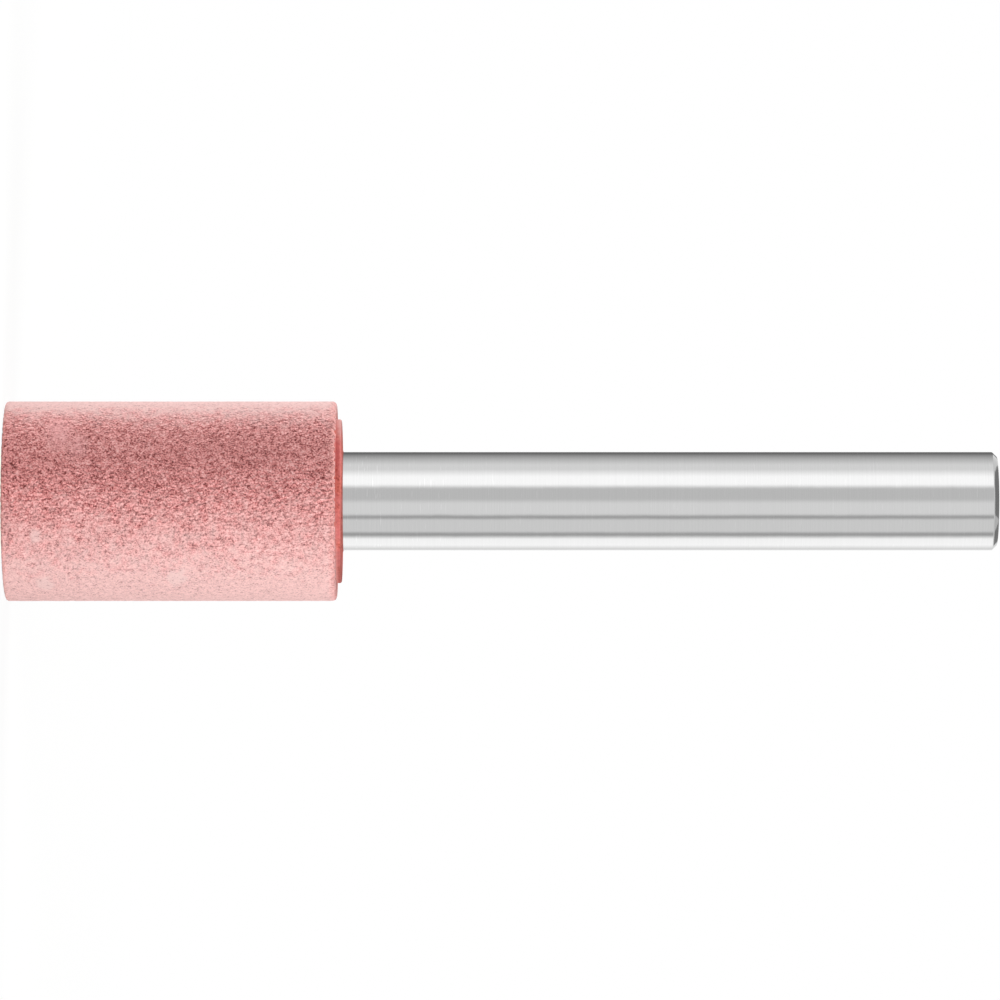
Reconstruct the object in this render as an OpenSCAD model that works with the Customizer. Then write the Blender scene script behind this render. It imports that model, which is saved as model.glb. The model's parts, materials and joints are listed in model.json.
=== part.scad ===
// Mounted point: a soft bonded abrasive cylinder moulded on a ground steel shank.
// It stands on the flat nose of its head, with the shank pointing up along +Z.
// The origin is the centre of the nose. Lengths are in millimetres.

/* [Head] */
// Diameter of the abrasive head
head_d = 12.2; // [11:0.1:25]
// Length of the head, from its nose to its back face
head_l = 20.2; // [14:0.1:40]
// Rounding of the nose edge
nose_edge_r = 0.2; // [0.1:0.05:1]
// Rounding of the back edge
back_edge_r = 0.25; // [0.1:0.05:0.8]

/* [Boss] */
// Step from the head's side in to the boss on its back face
boss_inset = 1.1; // [0.9:0.1:2.5]
// Height of the boss above the back face
boss_h = 0.3; // [0.2:0.05:2]
// Rounding of the boss's edge
boss_edge_r = 0.12; // [0.05:0.01:0.15]

/* [Shank] */
// Diameter that the collet grips
shank_d = 6; // [3:0.05:8]
// Length of shank that stands out of the head
shank_l = 40; // [15:0.5:80]
// Chamfer at the tip
tip_chamfer = 0.3; // [0.1:0.05:1]

/* [Root] */
// Solid abrasive between the nose and the end of the root
nose_t = 5; // [2:0.5:7]
// Plain depth in the mouth of the socket, where the knurl runs out
mouth_l = 0.15; // [0.05:0.05:0.2]
// Teeth of the straight knurl
knurl_teeth = 30; // [16:1:40]
// Depth of the knurl, from crest to valley
knurl_depth = 0.3; // [0.1:0.05:0.5]
// Height of the rolled crests above the shank
knurl_rise = 0.05; // [0:0.01:0.1]
// Width of the ring groove that keeps the head from pulling off
groove_w = 1.6; // [0.6:0.1:3]
// Depth of the ring groove below the knurl's crests
groove_depth = 0.65; // [0.55:0.05:1]
// Distance from the end of the root to the middle of the groove
groove_from_end = 4.5; // [3:0.1:6]
// Chamfer at the end of the root
root_chamfer = 0.6; // [0.1:0.05:1]

/* [Hidden] */
$fn = 96;

boss_r = head_d / 2 - boss_inset;
boss_top = head_l + boss_h;
shank_r = shank_d / 2;
tip_z = boss_top + shank_l;
collar_z = boss_top - mouth_l;
root_l = collar_z - nose_t;
crest_r = shank_r + knurl_rise;
valley_r = crest_r - knurl_depth;
groove_r = crest_r - groove_depth;
groove_z = nose_t + groove_from_end;
// Margin by which cutting shapes run past what they cut
over = 1;

// What a rounded edge takes off a square corner at [r, 0] of a half section
module edge_waste(r, edge_r) {
  difference() {
    translate([r - edge_r, -over]) square([edge_r + over, edge_r + over]);
    translate([r - edge_r, edge_r]) circle(r = edge_r);
  }
}

// Half section of a round disc whose lower and upper edges are rounded
module disc_section(r, h, lower_r, upper_r) {
  difference() {
    square([r, h]);
    if (lower_r > 0) edge_waste(r, lower_r);
    if (upper_r > 0) translate([0, h]) mirror([0, 1]) edge_waste(r, upper_r);
  }
}

// The head as moulded, before the socket
module head_blank() {
  rotate_extrude() disc_section(head_d / 2, head_l, nose_edge_r, back_edge_r);
  translate([0, 0, head_l]) rotate_extrude() disc_section(boss_r, boss_h, 0, boss_edge_r);
}

// The stretch that the collet grips, with its chamfered tip
module plain_shank() {
  rotate_extrude()
    polygon([
      [0, collar_z],
      [shank_r, collar_z],
      [shank_r, tip_z - tip_chamfer],
      [shank_r - tip_chamfer, tip_z],
      [0, tip_z]
    ]);
}

// Straight knurl: sharp crests and valleys in turn round the root
module knurl_section() {
  half_pitch = 180 / knurl_teeth;
  polygon([
    for (i = [0 : 2 * knurl_teeth - 1])
      let (r = i % 2 == 0 ? crest_r : valley_r)
        [r * cos(i * half_pitch), r * sin(i * half_pitch)]
  ]);
}

// Turned outline of the root: a chamfered end and one ring groove
module root_envelope() {
  outer_r = crest_r + over;
  rotate_extrude()
    polygon([
      [0, nose_t],
      [crest_r - root_chamfer, nose_t],
      [outer_r, nose_t + root_chamfer + over],
      [outer_r, groove_z - groove_w / 2],
      [groove_r, groove_z - groove_w / 2],
      [groove_r, groove_z + groove_w / 2],
      [outer_r, groove_z + groove_w / 2],
      [outer_r, collar_z],
      [0, collar_z]
    ]);
}

module root() {
  intersection() {
    translate([0, 0, nose_t]) linear_extrude(root_l) knurl_section();
    root_envelope();
  }
}

module shank_form() {
  plain_shank();
  root();
}

module shank() {
  color("silver") shank_form();
}

// The head is moulded on the root, so its socket is the root's own shape
module abrasive_head() {
  color("#d9a19f")
    difference() {
      head_blank();
      shank_form();
    }
}

abrasive_head();
shank();
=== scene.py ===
import json
import math

import bmesh
import bpy
from mathutils import Matrix, Vector, noise


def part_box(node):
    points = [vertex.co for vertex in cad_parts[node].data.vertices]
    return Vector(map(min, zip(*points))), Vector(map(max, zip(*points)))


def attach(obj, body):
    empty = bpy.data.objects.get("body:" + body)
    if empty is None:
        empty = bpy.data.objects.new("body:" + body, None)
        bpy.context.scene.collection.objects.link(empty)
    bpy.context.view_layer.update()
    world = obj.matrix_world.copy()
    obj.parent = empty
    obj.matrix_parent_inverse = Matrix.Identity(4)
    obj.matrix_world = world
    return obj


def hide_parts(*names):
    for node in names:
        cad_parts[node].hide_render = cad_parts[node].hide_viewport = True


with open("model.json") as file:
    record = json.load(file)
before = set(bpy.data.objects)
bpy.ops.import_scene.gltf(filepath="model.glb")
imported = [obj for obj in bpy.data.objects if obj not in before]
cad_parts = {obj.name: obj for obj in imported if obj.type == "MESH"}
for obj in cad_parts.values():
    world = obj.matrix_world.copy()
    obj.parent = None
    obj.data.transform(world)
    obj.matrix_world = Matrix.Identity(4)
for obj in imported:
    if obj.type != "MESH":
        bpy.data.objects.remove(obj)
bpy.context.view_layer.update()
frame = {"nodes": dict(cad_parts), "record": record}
scene = bpy.context.scene
scene.view_settings.view_transform = "Standard"
mm = 0.001
near = 0.01  # mm, how close counts as on a line of the outline
hair = 0.001  # mm, how close counts as on a face or on the axis
weld = 0.0001  # mm, how close two vertices are one
mixFactor, mixA, mixB, mixResult = 0, 6, 7, 2  # colour sockets of the Mix node
mixLow, mixHigh = 2, 3  # its number sockets
print("frame loaded:", ", ".join(sorted(frame["nodes"])))


def linearColour(code):  # sRGB hex to linear RGBA
    shares = [int(code[i:i + 2], 16) / 255 for i in (1, 3, 5)]
    return [s / 12.92 if s <= 0.04045 else ((s + 0.055) / 1.055) ** 2.4 for s in shares] + [1.0]


def clamp(value):
    return min(1, max(0, value))


def addNode(tree, kind, settings=None, values=None, links=None):
    node = tree.nodes.new("ShaderNode" + kind)
    for name, value in (settings or {}).items():
        setattr(node, name, value)
    for socket, value in (values or {}).items():
        node.inputs[socket].default_value = value
    for socket, source in (links or {}).items():
        tree.links.new(source, node.inputs[socket])
    return node


def setStops(node, stops):  # places and colours of a ramp, from its first stop to its last
    elements = node.color_ramp.elements
    for element, (place, code) in zip(elements[:], (stops[0], stops[-1])):
        element.position = place
        element.color = linearColour(code)
    for place, code in stops[1:-1]:
        elements.new(place).color = linearColour(code)


def seesWhite(tree):  # 1 for the rays that see plain white, 0 for those that gather light
    path = addNode(tree, "LightPath")
    seen = addNode(tree, "Math", {"operation": "MAXIMUM"}, links={
        0: path.outputs["Is Camera Ray"], 1: path.outputs["Is Glossy Ray"]})
    seen = addNode(tree, "Math", {"operation": "MAXIMUM"}, links={
        0: seen.outputs[0], 1: path.outputs["Is Transmission Ray"]})
    return seen.outputs[0]


def newMaterial(name):
    material = bpy.data.materials.new(name)
    material.use_nodes = True
    material.node_tree.nodes.clear()
    return material, material.node_tree


def finishPiece(bm, name, materials):
    mesh = bpy.data.meshes.new(name)
    bm.to_mesh(mesh)
    bm.free()
    piece = bpy.data.objects.new(name, mesh)
    scene.collection.objects.link(piece)
    for material in materials:
        mesh.materials.append(material)
    return piece


# Camera: square on to the shank and rolled, so that the standing part lies across the picture
cameraSet = {
    "imageSide": 1000,  # pixels
    "pixelsPerMm": 16.37,  # at the axis of the part
    "distance": 473,  # mm, as the rest
    "middleZ": 30.16,  # place on the part at the middle of the picture
    "middleX": -0.075,
    "sensor": 36,
    "clipStart": 10,
}


def makeCamera(s):
    data = bpy.data.cameras.new("camera")
    data.sensor_width = s["sensor"]
    data.lens = s["sensor"] * s["distance"] * s["pixelsPerMm"] / s["imageSide"]
    data.clip_start = s["clipStart"] * mm
    camera = bpy.data.objects.new("camera", data)
    scene.collection.objects.link(camera)
    right, up, back = Vector((0, 0, 1)), Vector((-1, 0, 0)), Vector((0, -1, 0))
    turn = Matrix((right, up, back)).transposed().to_4x4()
    place = Vector((s["middleX"], -s["distance"], s["middleZ"])) * mm
    camera.matrix_world = Matrix.Translation(place) @ turn
    scene.camera = camera


makeCamera(cameraSet)
print("camera placed")

# World: white to the camera and in the metal, a plain level for everything else
worldSet = {"colour": "#ffffff", "white": 1.0, "fill": 0.06}


def makeWorld(s):
    world = bpy.data.worlds.new("studio")
    world.use_nodes = True
    scene.world = world
    tree = world.node_tree
    tree.nodes.clear()
    colour = linearColour(s["colour"])
    fill = addNode(tree, "Background", values={"Color": colour, "Strength": s["fill"]})
    bright = addNode(tree, "Background", values={"Color": colour, "Strength": s["white"]})
    mix = addNode(tree, "MixShader", links={
        0: seesWhite(tree), 1: fill.outputs[0], 2: bright.outputs[0]})
    addNode(tree, "OutputWorld", links={"Surface": mix.outputs[0]})


makeWorld(worldSet)

# Lamps: three soft squares round the part, angles positive towards the top of the picture
lampSet = {
    "rise": 25,  # degrees above the middle of the part
    "distance": 600,  # mm
    "side": 340,
    "lamps": (  # name, angle round the part from the camera's side, power in watts
        ("low", -62, 3.95),
        ("front", 20, 1.18),
        ("back", 120, 4.6),
    ),
}


def aroundPart(angle, distance, height):  # a place round the part, mm in and metres out
    turn = math.radians(angle)
    return Vector((-math.sin(turn) * distance, -math.cos(turn) * distance, height)) * mm


def makeLamp(s, name, angle, power):
    data = bpy.data.lights.new(name, "AREA")
    data.shape = "RECTANGLE"
    data.size = data.size_y = s["side"] * mm
    data.energy = power
    lamp = bpy.data.objects.new(name, data)
    scene.collection.objects.link(lamp)
    lift = math.radians(s["rise"])
    reach = s["distance"] * math.cos(lift)
    middle = Vector((0, 0, cameraSet["middleZ"] * mm))
    lamp.location = aroundPart(angle, reach, s["distance"] * math.sin(lift)) + middle
    lamp.rotation_euler = (middle - lamp.location).to_track_quat("-Z", "Y").to_euler()
    lamp.visible_camera = False
    lamp.visible_glossy = False  # the steel mirrors the tent instead


for lampName, lampAngle, lampPower in lampSet["lamps"]:
    makeLamp(lampSet, lampName, lampAngle, lampPower)

# Tent: what the bright steel mirrors, a wall round the part with soft panels, and flags above it
tentSet = {
    "radius": 650,  # mm
    "low": -300,
    "high": 260,
    "steps": 180,
    "colour": "#ffffff",
    "brightest": 2.0,  # level of light that the ramp's white stands for
    "panels": (  # from and to angle round the part, and level of light; soft edges lie between them
        (-180, -150, 1.0),  # wall behind
        (-125, -100, 1.7),  # low softbox
        (-87, -82, 0.6),  # gap beside it
        (-75, -45, 1.1),  # wall below the camera
        (-39, -36, 0.6),  # gap in that wall
        (-30, -5, 1.2),  # the same wall past the gap
        (5, 30, 0.9),  # wall above the camera
        (40, 60, 1.8),  # high softbox
        (80, 95, 1.2),  # its spill
        (150, 180, 0.2),  # dark wall behind
    ),
    "flagHeight": 420,
    "flags": (  # lowest and highest x, lowest and highest y, level of light
        (-235, 115, -120, 420, 0.3),
        (115, 335, -120, 150, 0.8),
        (120, 335, 150, 750, 0.3),
    ),
}


def tentLight(s, name, level):
    material, tree = newMaterial(name)
    light = addNode(tree, "Emission", {"name": "light"}, {
        "Color": linearColour(s["colour"]), "Strength": level})
    addNode(tree, "OutputMaterial", links={"Surface": light.outputs[0]})
    material.cycles.emission_sampling = "NONE"
    return material


def finishTent(bm, name, material):
    panel = finishPiece(bm, name, [material])
    panel.visible_camera = panel.visible_diffuse = panel.visible_shadow = False
    panel.visible_transmission = False


def makeTentWall(s):
    material = tentLight(s, "tentWall", s["brightest"])
    tree = material.node_tree
    where = addNode(tree, "TexCoord").outputs["Object"]
    turned = addNode(tree, "Mapping", values={  # the camera's side lies at the middle of the ramp
        "Rotation": (0, 0, math.radians(-90)), "Scale": (1, -1, 1)}, links={"Vector": where})
    sweep = addNode(tree, "TexGradient", {"gradient_type": "RADIAL"}, links={
        "Vector": turned.outputs["Vector"]})
    level = addNode(tree, "ValToRGB", links={"Fac": sweep.outputs["Fac"]})
    stops = level.color_ramp.elements
    for start, end, amount in s["panels"]:
        for angle in (start, end):
            place = 0.5 + angle / 360
            stop = stops[0] if place == 0 else stops[-1] if place == 1 else stops.new(place)
            stop.color = [amount / s["brightest"]] * 3 + [1]
    tree.links.new(level.outputs["Color"], tree.nodes["light"].inputs["Color"])
    bm = bmesh.new()
    bmesh.ops.create_circle(bm, segments=s["steps"], radius=s["radius"] * mm)
    wall = bmesh.ops.extrude_edge_only(bm, edges=bm.edges[:])
    top = [part for part in wall["geom"] if isinstance(part, bmesh.types.BMVert)]
    bmesh.ops.translate(bm, vec=(0, 0, (s["high"] - s["low"]) * mm), verts=top)
    bmesh.ops.translate(bm, vec=(0, 0, s["low"] * mm), verts=bm.verts[:])
    finishTent(bm, "tentWall", material)


def makeTentFlags(s):
    for lowX, highX, lowY, highY, level in s["flags"]:
        bm = bmesh.new()
        flag = bmesh.ops.create_grid(bm, x_segments=1, y_segments=1, size=0.5)["verts"]  # 1 m square
        middle = Vector(((lowX + highX) / 2, (lowY + highY) / 2, s["flagHeight"]))
        bmesh.ops.scale(bm, vec=((highX - lowX) * mm, (highY - lowY) * mm, 1), verts=flag)
        bmesh.ops.translate(bm, vec=middle * mm, verts=flag)
        finishTent(bm, "tentFlag", tentLight(s, "tentFlag", level))


makeTentWall(tentSet)
makeTentFlags(tentSet)

# Floor: pale and matt, its shadow kept near the part and fading into the white
floorSet = {
    "radius": 1500,  # mm, as the rest
    "steps": 96,
    "drop": 0.01,  # clear of the nose
    "shadowNear": 40,
    "shadowFar": 160,
    "whiteNear": 0.92,  # share of plain white close to the part
    "colour": "#f2f2f0",
    "whiteColour": "#ffffff",
    "white": 1.0,
}


def paperFloor(s):
    # Matt paper: even and pale, and plain white from a little way off
    material, tree = newMaterial("paperFloor")
    where = addNode(tree, "TexCoord").outputs["Object"]
    reach = addNode(tree, "VectorMath", {"operation": "LENGTH"}, links={0: where})
    fade = addNode(tree, "MapRange", {"interpolation_type": "SMOOTHSTEP"}, {
        "From Min": s["shadowNear"] * mm, "From Max": s["shadowFar"] * mm,
        "To Min": s["whiteNear"]}, {"Value": reach.outputs["Value"]})
    share = addNode(tree, "Math", {"operation": "MULTIPLY"}, links={
        0: seesWhite(tree), 1: fade.outputs["Result"]})
    matt = addNode(tree, "BsdfDiffuse", values={"Color": linearColour(s["colour"])})
    white = addNode(tree, "Emission", values={
        "Color": linearColour(s["whiteColour"]), "Strength": s["white"]})
    mix = addNode(tree, "MixShader", links={
        0: share.outputs[0], 1: matt.outputs[0], 2: white.outputs[0]})
    addNode(tree, "OutputMaterial", links={"Surface": mix.outputs[0]})
    material.cycles.emission_sampling = "NONE"
    return material


def makeFloor(s):
    bm = bmesh.new()
    bmesh.ops.create_circle(bm, cap_ends=True, segments=s["steps"], radius=s["radius"] * mm)
    bmesh.ops.translate(bm, vec=(0, 0, -s["drop"] * mm), verts=bm.verts[:])
    floor = finishPiece(bm, "floor", [paperFloor(s)])
    floor.visible_glossy = False  # the steel mirrors the tent, which reaches below the floor


makeFloor(floorSet)
print("stage set: world, lamps, tent, floor")

# Sizes that both pieces share, mm, with the outer ones read from the frame
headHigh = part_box("abrasive_head")[1] / mm
shankLow, shankHigh = (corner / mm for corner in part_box("shank"))
gripR = next(m["dims"]["r_mm"] for m in frame["record"]["mounts"] if m["name"] == "shank")
rootSet = {
    "mouth": 0.15,  # plain depth in the socket's mouth
    "teeth": 30,
    "toothDepth": 0.3,
    "grooveWide": 1.6,
    "grooveDeep": 0.65,
    "grooveFromEnd": 4.5,
    "endChamfer": 0.6,
}
latheSet = {
    "turns": 360,  # steps of every spin, a multiple of the knurl's crests and valleys
    "sharp": 32,  # degrees, past which an edge is drawn sharp
    "hiddenShare": 0.04,  # how much of its length the hidden root and socket keep on the unrolled map
}


def rootOutline(s):  # half section of the keyed root, from its end to the mouth
    end, crest = shankLow.z, shankHigh.x
    collar = headHigh.z - s["mouth"]
    grooveR = crest - s["grooveDeep"]
    grooveLow = end + s["grooveFromEnd"] - s["grooveWide"] / 2
    grooveHigh = grooveLow + s["grooveWide"]
    return [(0, end), (crest - s["endChamfer"], end), (crest, end + s["endChamfer"]),
            (crest, grooveLow), (grooveR, grooveLow), (grooveR, grooveHigh), (crest, grooveHigh),
            (crest, collar), (gripR, collar)]


def cutKnurl(bm, s):  # pulls the root's rings in to straight teeth
    crest, end = shankHigh.x, shankLow.z
    collar = headHigh.z - s["mouth"]
    pitch = 2 * math.pi / s["teeth"]
    for vert in bm.verts:
        spot = vert.co / mm
        radius = math.hypot(spot.x, spot.y)
        if radius > crest + near or not end - near < spot.z < collar + near:
            continue
        if spot.z > collar - near and radius < gripR + near:
            continue  # the plain ring of the mouth
        along = math.atan2(spot.y, spot.x) / pitch
        fall = abs(along - round(along)) * 2  # 0 on a crest, 1 in a valley
        wanted = min(radius, crest - s["toothDepth"] * fall)
        if radius > near:
            vert.co.x *= wanted / radius
            vert.co.y *= wanted / radius


def measureWire(bm, first, s):  # length along the outline from its first point, kept on each vertex
    along = bm.verts.layers.float.new("along")
    start = Vector((first[0], 0, first[1])) * mm
    vert = min(bm.verts, key=lambda v: (v.co - start).length)
    edge, length = None, 0
    while True:
        edge = next((e for e in vert.link_edges if e != edge), None)
        if edge is None:
            return
        middle = (edge.verts[0].co + edge.verts[1].co) / 2 / mm
        hidden = middle.x < shankHigh.x + near and shankLow.z - near < middle.z < headHigh.z - near
        length += edge.calc_length() * (s["hiddenShare"] if hidden else 1)
        vert = edge.other_vert(vert)
        vert[along] = length


def unrollMap(bm):  # a map for baking: once round by the length of the outline, its seam at the back
    along = bm.verts.layers.float["along"]
    unrolled = bm.loops.layers.uv.new("OFBake")
    longest = max(vert[along] for vert in bm.verts)
    for face in bm.faces:
        centre = face.calc_center_median()
        middle = math.atan2(-centre.x, -centre.y)
        for loop in face.loops:
            place = loop.vert.co
            turn = math.atan2(-place.x, -place.y) - middle
            turn = (turn + math.pi) % (2 * math.pi) - math.pi
            if math.hypot(place.x, place.y) < hair * mm:
                turn = 0  # a pole lies straight below its face
            loop[unrolled].uv = ((middle + turn) / (2 * math.pi) + 0.5, loop.vert[along] / longest)


def latheOutline(outline, rounds, arcSteps, rowAt, s):
    bm = bmesh.new()
    corners = [bm.verts.new((r * mm, 0, z * mm)) for r, z in outline]
    for a, b in zip(corners, corners[1:]):
        bm.edges.new((a, b))
    for corner, point in zip(corners, outline):
        if point in rounds:
            bmesh.ops.bevel(bm, geom=[corner], affect="VERTICES", offset=rounds[point] * mm,
                            offset_type="OFFSET", segments=arcSteps, profile=0.5, material=-1)
    for edge in bm.edges[:]:
        middle = (edge.verts[0].co + edge.verts[1].co) / 2 / mm
        cuts = round(edge.calc_length() / mm / rowAt(middle)) - 1
        if cuts > 0:
            bmesh.ops.subdivide_edges(bm, edges=[edge], cuts=cuts)
    measureWire(bm, outline[0], s)
    bmesh.ops.spin(bm, geom=bm.verts[:] + bm.edges[:], cent=(0, 0, 0), axis=(0, 0, 1), dvec=(0, 0, 0),
                   angle=2 * math.pi, steps=s["turns"], use_merge=True, use_duplicate=False)
    bmesh.ops.remove_doubles(bm, verts=bm.verts[:], dist=weld * mm)
    cutKnurl(bm, rootSet)
    bmesh.ops.recalc_face_normals(bm, faces=bm.faces[:])
    for face in bm.faces:
        face.smooth = True
    for edge in bm.edges:
        edge.smooth = edge.calc_face_angle(0) < math.radians(s["sharp"])
    unrollMap(bm)
    return bm


# Head: the ground skin has real pits, and the moulded back keeps its closed skin
headSet = {
    "bossInset": 1.1,  # mm, as the rest
    "bossHeight": 0.3,
    "noseRound": 0.2,
    "backRound": 0.25,
    "bossRound": 0.12,
    "beadWide": 0.35,  # the elastomer climbs the shank a little
    "beadHigh": 0.11,
    "beadRound": 0.2,
    "beadGrime": 0.6,  # strength of the painted shade where the bead meets the shank
    "arcSteps": 5,
    "sideRow": 0.111,  # rows of faces, fine enough for the pits
    "noseRow": 0.26,
    "backRow": 0.16,
    "socketRow": 30,  # longer than any of its lines, so it isn't divided
    "grain": 0.24,  # spacing of pits and crumbs
    "grainFiner": 2.1,  # how much finer its second layer is, and how strong
    "grainFinerShare": 0.4,
    "pitDepth": 0.05,
    "pitLevel": 0.35,  # share of the depth on plain skin, and how steeply the grain changes it
    "pitSlope": 0.9,
    "wave": 4.5,  # slow unevenness of the soft stock
    "waveDepth": 0.008,
    "waveLevel": 0.9,  # in shares of its depth, enough to keep the skin inside the CAD box
    "waveSwing": 0.5,
    "fray": 0.3,  # spacing of the torn bits along the back edge
    "frayFiner": 2.3,
    "frayFinerShare": 0.5,
    "frayRagged": 0.5,  # how unevenly they end
    "frayReach": 0.45,
    "frayDepth": 0.09,
    "frayDust": 0.8,  # how much of the torn bits the dust and painted sheen hide
    "frayClean": 0.6,  # how much of the dust and painted sheen is lost at the back edge
    "edgeWear": 0.22,  # how far up the nose edge is painted pale, a painted highlight on its rounding
    "borderReach": 0.25,  # how far the moulded skin runs out over the back edge, in bits
    "borderFiner": 2,
    "borderDeep": 0.1,  # how far from the flat faces the two skins meet
    "bossReach": 0.9,  # how far in from the boss's edge its painted sheen and painted shade go
}
# Spots: angle round the part, height, half width and half length in mm, strength
dustAndSheenSpots = (
    (-80, 10, 7.7, 60, 0.66),  # two pale stripes along the head towards the top and bottom of the picture, a painted sheen
    (86, 10, 3.4, 60, 0.75),
    (-50, 10.5, 1.3, 1.0, 0.85),  # and small dusty spots
    (-20, 2.1, 0.6, 0.5, 0.75),
    (-56, 2.6, 1.2, 0.8, 0.85),
)
smearedSpots = (  # rubbed smooth and still pink
    (44, 3.5, 1.35, 0.85, 0.52),
    (33, 4.6, 0.9, 0.6, 0.4),
)
# painted sheen along the boss's side towards the top of the picture
bossSheenSpots = ((80, 20.4, 3.2, 60, 0.9),)
# painted shade along the boss's side towards the bottom of the picture
bossShadeSpots = ((-78, 20.4, 4.8, 60, 0.68),)
spotSet = {
    "core": 1.6,  # past 1 the middle of a spot is even
    "fall": 1.3,  # how fast it fades outwards
    "ragged": ((0.35, 0.6), (0.3, 0.25)),  # strength and size in mm of what breaks up its edge
}


def spotsAt(spot, spots, s):
    angle = math.degrees(math.atan2(-spot.x, -spot.y))
    ragged = sum(share * noise.noise(spot / size) for share, size in s["ragged"])
    most = 0
    for middle, height, halfRound, halfLong, strength in spots:
        away = (angle - middle + 180) % 360 - 180
        across = math.radians(away) * headHigh.x / halfRound
        along = (spot.z - height) / halfLong
        most = max(most, strength * clamp(s["core"] - s["fall"] * math.hypot(across, along) + ragged))
    return most


def layeredNoise(spot, size, finer, finerShare):
    return noise.noise(spot / size) + finerShare * noise.noise(spot / size * finer)


def roughenSkin(bm, s, backZ, bossR):
    bm.normal_update()
    rubbed = bm.verts.layers.float.new("rubbed")
    frayed = bm.verts.layers.float.new("frayed")
    soiled = bm.verts.layers.float.new("soiled")
    smeared = bm.verts.layers.float.new("smeared")
    moves = []
    for vert in bm.verts:
        spot = vert.co / mm
        radius = math.hypot(spot.x, spot.y)
        side = radius > headHigh.x - s["backRound"] - near
        if side:
            vert[smeared] = spotsAt(spot, smearedSpots, spotSet)
            # dust spots and smears, and the painted sheen of the two stripes
            vert[rubbed] = max(vert[smeared], spotsAt(spot, dustAndSheenSpots, spotSet))
        elif spot.z > backZ + hair:  # the boss
            outer = clamp(1 - (bossR - radius) / s["bossReach"])
            climbed = max(0, spot.z - headHigh.z) / s["beadHigh"]
            # painted sheen on the boss's upper side
            vert[rubbed] = outer * spotsAt(spot, bossSheenSpots, spotSet)
            # painted shade on the boss's lower side and where the bead meets the shank
            vert[soiled] = max(outer * spotsAt(spot, bossShadeSpots, spotSet), s["beadGrime"] * climbed)
        elif spot.z > backZ - hair:  # the back face
            vert[rubbed] = spotsAt(spot, dustAndSheenSpots, spotSet)
        if spot.z > backZ - hair or not (side or spot.z < hair):
            continue  # only the side and the nose are ground
        tornAndHighlit = layeredNoise(spot, s["fray"], s["frayFiner"], s["frayFinerShare"])
        fromBack = (backZ - spot.z) / s["frayReach"]
        # the nose edge joins the back edge here, as a painted highlight
        fromEdge = min(fromBack, spot.z / s["edgeWear"] if side else 1)
        bared = 1 - s["frayDust"] * vert[rubbed]
        # torn bits along the back edge, and a painted highlight along it and up the nose edge
        vert[frayed] = clamp(1 - fromEdge + s["frayRagged"] * tornAndHighlit) * bared
        vert[rubbed] *= 1 - s["frayClean"] * max(0, 1 - fromBack)
        crumb = layeredNoise(spot, s["grain"], s["grainFiner"], s["grainFinerShare"])
        pit = s["pitDepth"] * clamp(s["pitLevel"] - s["pitSlope"] * crumb) * (1 - vert[rubbed])
        if spot.z > backZ - s["frayReach"]:
            pit += s["frayDepth"] * vert[frayed] * max(0, tornAndHighlit)
        wave = s["waveDepth"] * (s["waveLevel"] + s["waveSwing"] * noise.noise(spot / s["wave"]))
        moves.append((vert, -(pit + wave) * mm * vert.normal))
    for vert, move in moves:
        vert.co += move


groundSkinSet = {
    "drawnOut": (1.2, 1.2, 1),  # the grain runs a little longer along the head
    "fine": 0.11,  # sizes of grit and crumbs, mm
    "coarse": 0.3,
    "coarseShare": 0.3,
    "crumb": 0.185,
    "drift": 3.2,
    "driftShare": 0.15,
    "colours": (  # from torn pits to the crests of crumbs
        (0.3, "#4a1a1b"), (0.41, "#86403f"), (0.5, "#d28785"), (0.57, "#e6a3a1"), (0.68, "#f4c6c3")),
    "dustCover": (0.36, 0.43, 0.35),  # grain where the dust and painted sheen start and are full, and their share in the pits
    # colour of the dust and of the painted sheen
    "dustColour": "#d0b4b1",
    "smearColour": "#dda5a5",
    "smearFull": 0.3,  # strength from which a smear has its own colour
    # pale colour of the torn bits along the back edge, and a painted highlight along the back and nose
    # edges
    "tornColour": "#f0ada6",
    "tornCrumbs": (0.42, 0.6, 0.3, 0.95),  # crumb where the pale colour of the torn bits and the painted highlight starts and is full, and its shares
    "bumpDepth": 0.18,  # mm
    "bumpRubbed": (0.7, 0.25),  # dust and painted sheen at which the bump is least, and its strength there
    "roughness": 0.92,
    "specular": 0.1,
    "sheen": 0.15,
    "sheenRoughness": 0.6,
    "sheenTint": "#fffafa",
}


def groundColours(tree, s, where, laid):  # the bare ground skin, and the grain that it follows
    fine = addNode(tree, "TexNoise", values={
        "Scale": 1 / (s["fine"] * mm), "Detail": 3.0, "Roughness": 0.65}, links={"Vector": laid})
    coarse = addNode(tree, "TexNoise", values={
        "Scale": 1 / (s["coarse"] * mm), "Detail": 2.0, "Roughness": 0.6}, links={"Vector": laid})
    grain = addNode(tree, "Mix", values={mixFactor: s["coarseShare"]}, links={
        mixLow: fine.outputs["Fac"], mixHigh: coarse.outputs["Fac"]}).outputs[0]
    colours = addNode(tree, "ValToRGB", links={"Fac": grain})
    setStops(colours, s["colours"])
    drift = addNode(tree, "TexNoise", values={
        "Scale": 1 / (s["drift"] * mm), "Detail": 2.0}, links={"Vector": where})
    drifted = addNode(tree, "Mix", {"data_type": "RGBA", "blend_type": "OVERLAY"}, {
        mixFactor: s["driftShare"]}, {mixA: colours.outputs["Color"], mixB: drift.outputs["Fac"]})
    return drifted.outputs[mixResult], grain


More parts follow.
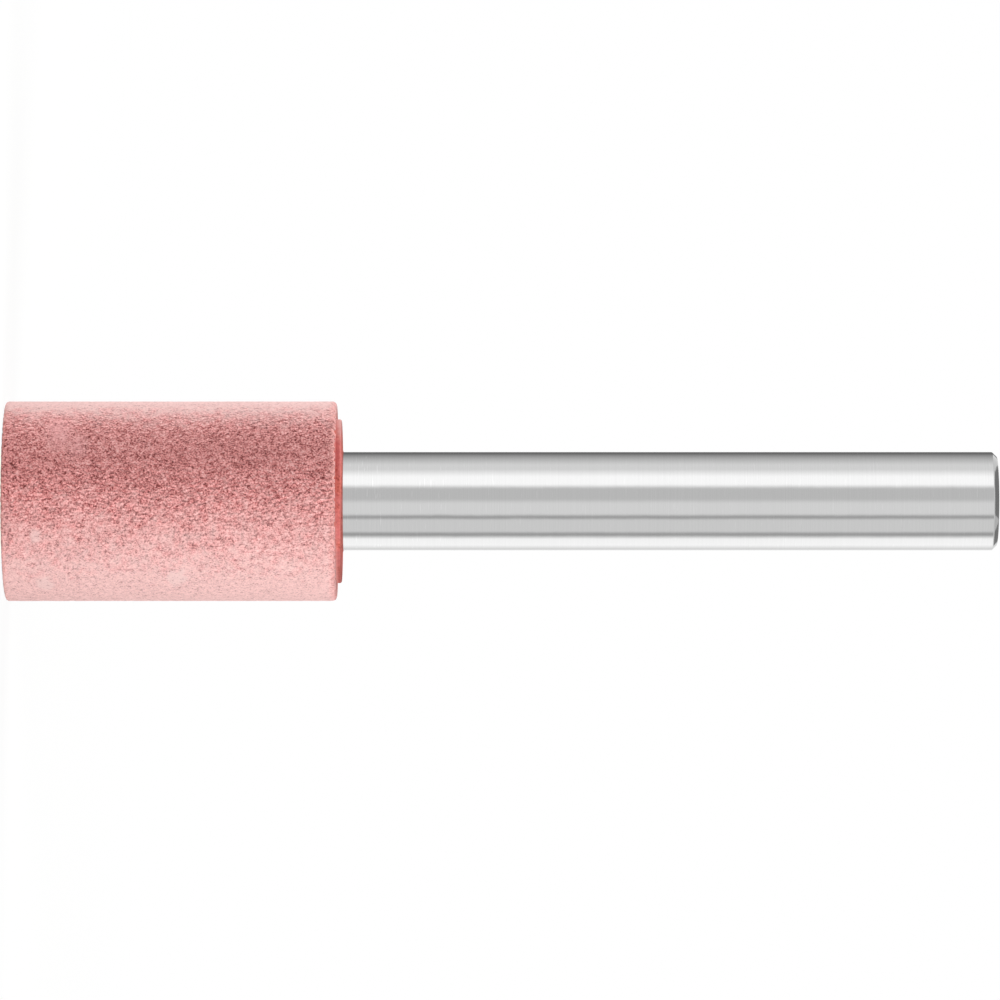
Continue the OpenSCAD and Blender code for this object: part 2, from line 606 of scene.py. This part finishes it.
def elastomerGround(s):
    # Elastomer-bonded abrasive, ground to size: dark torn pits between pale crumbs, matt and dusty, with a
    # painted sheen in two pale stripes along it and a painted highlight along its back and nose edges
    material, tree = newMaterial("elastomerAbrasiveGround")
    where = addNode(tree, "TexCoord").outputs["Object"]
    laid = addNode(tree, "Mapping", values={"Scale": s["drawnOut"]}, links={"Vector": where}).outputs[0]
    bare, grain = groundColours(tree, s, where, laid)
    rubbed = addNode(tree, "Attribute", {"attribute_name": "rubbed"}).outputs["Fac"]
    coverLow, coverHigh, coverLeast = s["dustCover"]
    crests = addNode(tree, "MapRange", values={
        "From Min": coverLow, "From Max": coverHigh, "To Min": coverLeast}, links={"Value": grain})
    coverShare = addNode(tree, "Math", {"operation": "MULTIPLY"}, links={  # the deepest pits stay dark
        0: rubbed, 1: crests.outputs["Result"]})
    smeared = addNode(tree, "Attribute", {"attribute_name": "smeared"})
    pinkness = addNode(tree, "MapRange", values={"From Max": s["smearFull"]}, links={
        "Value": smeared.outputs["Fac"]})
    # dust and painted sheen, pinker where smeared
    paleTone = addNode(tree, "Mix", {"data_type": "RGBA"}, {
        mixA: linearColour(s["dustColour"]), mixB: linearColour(s["smearColour"])}, {
        mixFactor: pinkness.outputs["Result"]})
    paled = addNode(tree, "Mix", {"data_type": "RGBA"}, links={
        mixFactor: coverShare.outputs[0], mixA: bare, mixB: paleTone.outputs[mixResult]})
    crumbs = addNode(tree, "TexNoise", values={
        "Scale": 1 / (s["crumb"] * mm), "Detail": 0.0}, links={"Vector": laid}).outputs["Fac"]
    # torn bits along the back edge, and a painted highlight there and up the nose edge
    frayed = addNode(tree, "Attribute", {"attribute_name": "frayed"})
    tornHighlitLow, tornHighlitHigh, tornHighlitLeast, tornHighlitMost = s["tornCrumbs"]
    pale = addNode(tree, "MapRange", values={
        "From Min": tornHighlitLow, "From Max": tornHighlitHigh, "To Min": tornHighlitLeast, "To Max": tornHighlitMost}, links={
        "Value": crumbs})
    blush = addNode(tree, "Math", {"operation": "MULTIPLY"}, links={
        0: frayed.outputs["Fac"], 1: pale.outputs["Result"]})
    tornAndHighlit = addNode(tree, "Mix", {"data_type": "RGBA"}, {mixB: linearColour(s["tornColour"])}, {
        mixFactor: blush.outputs[0], mixA: paled.outputs[mixResult]})
    smoothFrom, smoothLeast = s["bumpRubbed"]
    relief = addNode(tree, "MapRange", values={
        "From Max": smoothFrom, "To Min": 1.0, "To Max": smoothLeast}, links={"Value": rubbed})
    bump = addNode(tree, "Bump", values={"Distance": s["bumpDepth"] * mm}, links={
        "Height": crumbs, "Strength": relief.outputs["Result"]})
    skin = addNode(tree, "BsdfPrincipled", values={
        "Roughness": s["roughness"], "Specular IOR Level": s["specular"], "Sheen Weight": s["sheen"],
        "Sheen Roughness": s["sheenRoughness"], "Sheen Tint": linearColour(s["sheenTint"])}, links={
        "Base Color": tornAndHighlit.outputs[mixResult], "Normal": bump.outputs["Normal"]})
    addNode(tree, "OutputMaterial", links={"Surface": skin.outputs[0]})
    return material


mouldedSkinSet = {
    "mottle": 0.16,  # sizes of mottling and patches, mm
    "patch": 1.6,
    "colours": ((0.3, "#78352f"), (0.42, "#b85a4f"), (0.68, "#e0877b")),
    "patchColour": "#d07979",
    "patchCover": (0.44, 0.56, 0.6),  # noise where a patch starts and is full, and its strength
    # colour of the painted sheen on the boss and back face
    "dustColour": "#c99a96",
    # colour of the painted shade
    "soilColour": "#84504c",
    "bumpDepth": 0.03,  # mm
    "bumpStrength": 0.5,
    "roughness": 0.8,
    "specular": 0.08,
}


def elastomerMoulded(s):
    # The same mix as it leaves the mould: a closed, redder skin with fine mottling and little grain, with
    # a painted sheen on the boss's upper side and painted shade on its lower side and where the bead meets
    # the shank
    material, tree = newMaterial("elastomerAbrasiveMoulded")
    where = addNode(tree, "TexCoord").outputs["Object"]
    mottle = addNode(tree, "TexNoise", values={
        "Scale": 1 / (s["mottle"] * mm), "Detail": 3.0, "Roughness": 0.6}, links={"Vector": where})
    colours = addNode(tree, "ValToRGB", links={"Fac": mottle.outputs["Fac"]})
    setStops(colours, s["colours"])
    drift = addNode(tree, "TexNoise", values={
        "Scale": 1 / (s["patch"] * mm), "Detail": 2.0}, links={"Vector": where})
    patchLow, patchHigh, patchMost = s["patchCover"]
    blush = addNode(tree, "MapRange", values={
        "From Min": patchLow, "From Max": patchHigh, "To Max": patchMost}, links={
        "Value": drift.outputs["Fac"]})
    patchy = addNode(tree, "Mix", {"data_type": "RGBA"}, {mixB: linearColour(s["patchColour"])}, {
        mixFactor: blush.outputs["Result"], mixA: colours.outputs["Color"]})
    # painted sheen on the boss's upper side and the pale stripes on the back face
    rubbed = addNode(tree, "Attribute", {"attribute_name": "rubbed"})
    sheened = addNode(tree, "Mix", {"data_type": "RGBA"}, {mixB: linearColour(s["dustColour"])}, {
        mixFactor: rubbed.outputs["Fac"], mixA: patchy.outputs[mixResult]})
    # painted shade on the boss's lower side and at the top of the bead
    soiled = addNode(tree, "Attribute", {"attribute_name": "soiled"})
    shaded = addNode(tree, "Mix", {"data_type": "RGBA"}, {mixB: linearColour(s["soilColour"])}, {
        mixFactor: soiled.outputs["Fac"], mixA: sheened.outputs[mixResult]})
    bump = addNode(tree, "Bump", values={
        "Strength": s["bumpStrength"], "Distance": s["bumpDepth"] * mm}, links={
        "Height": mottle.outputs["Fac"]})
    skin = addNode(tree, "BsdfPrincipled", values={
        "Roughness": s["roughness"], "Specular IOR Level": s["specular"]}, links={
        "Base Color": shaded.outputs[mixResult], "Normal": bump.outputs["Normal"]})
    addNode(tree, "OutputMaterial", links={"Surface": skin.outputs[0]})
    return material


def makeHead(s):
    sideR, bossTop = headHigh.x, headHigh.z
    backZ, bossR = bossTop - s["bossHeight"], sideR - s["bossInset"]
    nose, back, boss = (sideR, 0), (sideR, backZ), (bossR, bossTop)
    bead, climb = (gripR + s["beadWide"], bossTop), (gripR, bossTop + s["beadHigh"])
    outline = [(0, 0), nose, back, (bossR, backZ), boss, bead, climb] + rootOutline(rootSet)[::-1]
    rounds = {nose: s["noseRound"], back: s["backRound"], boss: s["bossRound"], bead: s["beadRound"]}

    def rowAt(middle):
        if middle.x > sideR - near:
            return s["sideRow"]
        if middle.z < near:
            return s["noseRow"]
        return s["backRow"] if middle.z > backZ - near and middle.x > gripR + near else s["socketRow"]

    bm = latheOutline(outline, rounds, s["arcSteps"], rowAt, latheSet)
    roughenSkin(bm, s, backZ, bossR)
    for face in bm.faces:
        middle = face.calc_center_median() / mm
        border = sideR - s["backRound"]
        if middle.z > backZ - s["borderDeep"]:
            border += s["borderReach"] * max(0, noise.noise(middle / s["fray"] * s["borderFiner"]))
        moulded = math.hypot(middle.x, middle.y) < border and middle.z > s["borderDeep"]
        face.material_index = int(moulded)  # back, boss and socket
    skins = [elastomerGround(groundSkinSet), elastomerMoulded(mouldedSkinSet)]
    head = finishPiece(bm, "groundHead", skins)
    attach(head, "root")
    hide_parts("abrasive_head")
    return head


head = makeHead(headSet)
print("head made:", len(head.data.polygons), "faces")

# Shank: a finer copy of the turned form, so that its reflections run clean
shankSet = {
    "tipChamfer": 0.3,  # mm, as the rest
    "edgeRound": 0.05,
    "arcSteps": 3,
    "gripRow": 2.0,
}
groundSteelSet = {
    "ring": 0.05,  # mm, drawn coarser than real grinding lines, which are too fine to show
    "ringRound": 50 / 3,  # mm across, so slowly the rings change on their way round
    "ringColours": ((0, "#b9b9b9"), (1, "#c4c4c4")),
    "ringBump": (0.05, 0.002),  # strength, and depth in mm
    "haze": 2.5,  # mm
    "hazeDepth": 0.012,
    "hazeRoughness": (0.08, 0.15),
    "scuff": (0.8, 0.8, 0.07),  # mm across and along, scuffs run round the shank
    "scuffCover": (0.72, 0.82),  # noise where a scuff starts and is full
    "scuffColour": "#d4d4d4",
    "scuffFade": (22, 28, 0.45, 0.15),  # heights between which scuffs fade, mm, and their strengths there
}


def steelGround(s):
    # Tool steel, centreless ground: bright, with faint rings and a soft haze in its reflections
    material, tree = newMaterial("steelCentrelessGround")
    where = addNode(tree, "TexCoord").outputs["Object"]
    apart = addNode(tree, "SeparateXYZ", links={"Vector": where})
    along = addNode(tree, "Attribute", {"attribute_name": "along"})  # so the rings follow the chamfer
    wound = addNode(tree, "CombineXYZ", links={
        "X": apart.outputs["X"], "Y": apart.outputs["Y"], "Z": along.outputs["Fac"]}).outputs["Vector"]
    across = 1 / (s["ringRound"] * mm)
    rings = addNode(tree, "Mapping", values={
        "Scale": (across, across, 1 / (s["ring"] * mm))}, links={"Vector": wound})
    lines = addNode(tree, "TexNoise", values={"Scale": 1.0, "Detail": 3.0}, links={
        "Vector": rings.outputs["Vector"]})
    haze = addNode(tree, "TexNoise", values={
        "Scale": 1 / (s["haze"] * mm), "Detail": 3.0}, links={"Vector": where})
    hazeLow, hazeHigh = s["hazeRoughness"]
    rough = addNode(tree, "MapRange", values={"To Min": hazeLow, "To Max": hazeHigh}, links={
        "Value": haze.outputs["Fac"]})
    tone = addNode(tree, "ValToRGB", links={"Fac": lines.outputs["Fac"]})
    setStops(tone, s["ringColours"])
    short = addNode(tree, "Mapping", values={
        "Scale": [1 / (size * mm) for size in s["scuff"]]}, links={"Vector": wound})
    scuffs = addNode(tree, "TexNoise", values={"Scale": 1.0, "Detail": 0.0}, links={
        "Vector": short.outputs["Vector"]})
    scuffLow, scuffHigh = s["scuffCover"]
    marks = addNode(tree, "MapRange", values={"From Min": scuffLow, "From Max": scuffHigh}, links={
        "Value": scuffs.outputs["Fac"]})
    fadeLow, fadeHigh, fadeMost, fadeLeast = s["scuffFade"]
    fade = addNode(tree, "MapRange", values={  # most of them next to the head
        "From Min": fadeLow * mm, "From Max": fadeHigh * mm, "To Min": fadeMost, "To Max": fadeLeast},
        links={"Value": apart.outputs["Z"]})
    marked = addNode(tree, "Math", {"operation": "MULTIPLY"}, links={
        0: marks.outputs["Result"], 1: fade.outputs["Result"]})
    scuffed = addNode(tree, "Mix", {"data_type": "RGBA"}, {mixB: linearColour(s["scuffColour"])}, {
        mixFactor: marked.outputs[0], mixA: tone.outputs["Color"]})
    uneven = addNode(tree, "Bump", values={"Distance": s["hazeDepth"] * mm}, links={
        "Height": haze.outputs["Fac"]})
    ringStrength, ringDepth = s["ringBump"]
    bump = addNode(tree, "Bump", values={"Strength": ringStrength, "Distance": ringDepth * mm}, links={
        "Height": lines.outputs["Fac"], "Normal": uneven.outputs["Normal"]})
    skin = addNode(tree, "BsdfPrincipled", values={"Metallic": 1.0}, links={
        "Base Color": scuffed.outputs[mixResult], "Roughness": rough.outputs["Result"],
        "Normal": bump.outputs["Normal"]})
    addNode(tree, "OutputMaterial", links={"Surface": skin.outputs[0]})
    return material


turnedSteelSet = {
    "ring": 0.12,  # mm, drawn a little coarser than a real finishing feed, so that it shows
    "ringColours": ((0, "#a6a6a6"), (1, "#d6d6d6")),
    "ringBump": (0.6, 0.012),  # strength, and depth in mm
    "roughness": 0.32,
}


def steelTurned(s):
    # The same steel, turned off at the tip: satin, with concentric rings that break up what it mirrors
    material, tree = newMaterial("steelTurned")
    along = addNode(tree, "Attribute", {"attribute_name": "along"})
    rings = addNode(tree, "TexNoise", {"noise_dimensions": "1D"}, {
        "Scale": 1 / (s["ring"] * mm), "Detail": 2.0}, {"W": along.outputs["Fac"]})
    tone = addNode(tree, "ValToRGB", links={"Fac": rings.outputs["Fac"]})
    setStops(tone, s["ringColours"])
    ringStrength, ringDepth = s["ringBump"]
    bump = addNode(tree, "Bump", values={"Strength": ringStrength, "Distance": ringDepth * mm}, links={
        "Height": rings.outputs["Fac"]})
    skin = addNode(tree, "BsdfPrincipled", values={"Metallic": 1.0, "Roughness": s["roughness"]}, links={
        "Base Color": tone.outputs["Color"], "Normal": bump.outputs["Normal"]})
    addNode(tree, "OutputMaterial", links={"Surface": skin.outputs[0]})
    return material


def makeShank(s):
    tip, chamfer = shankHigh.z, s["tipChamfer"]
    shoulder, point = (gripR, tip - chamfer), (gripR - chamfer, tip)
    outline = rootOutline(rootSet) + [shoulder, point, (0, tip)]
    rounds = {shoulder: s["edgeRound"], point: s["edgeRound"]}
    bm = latheOutline(outline, rounds, s["arcSteps"], lambda middle: s["gripRow"], latheSet)
    for face in bm.faces:
        face.material_index = int(face.calc_center_median().z / mm > tip - hair)  # the end face is turned
    shank = finishPiece(bm, "groundShank", [steelGround(groundSteelSet), steelTurned(turnedSteelSet)])
    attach(shank, "root")
    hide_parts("shank")
    return shank


shank = makeShank(shankSet)
print("shank made:", len(shank.data.polygons), "faces")
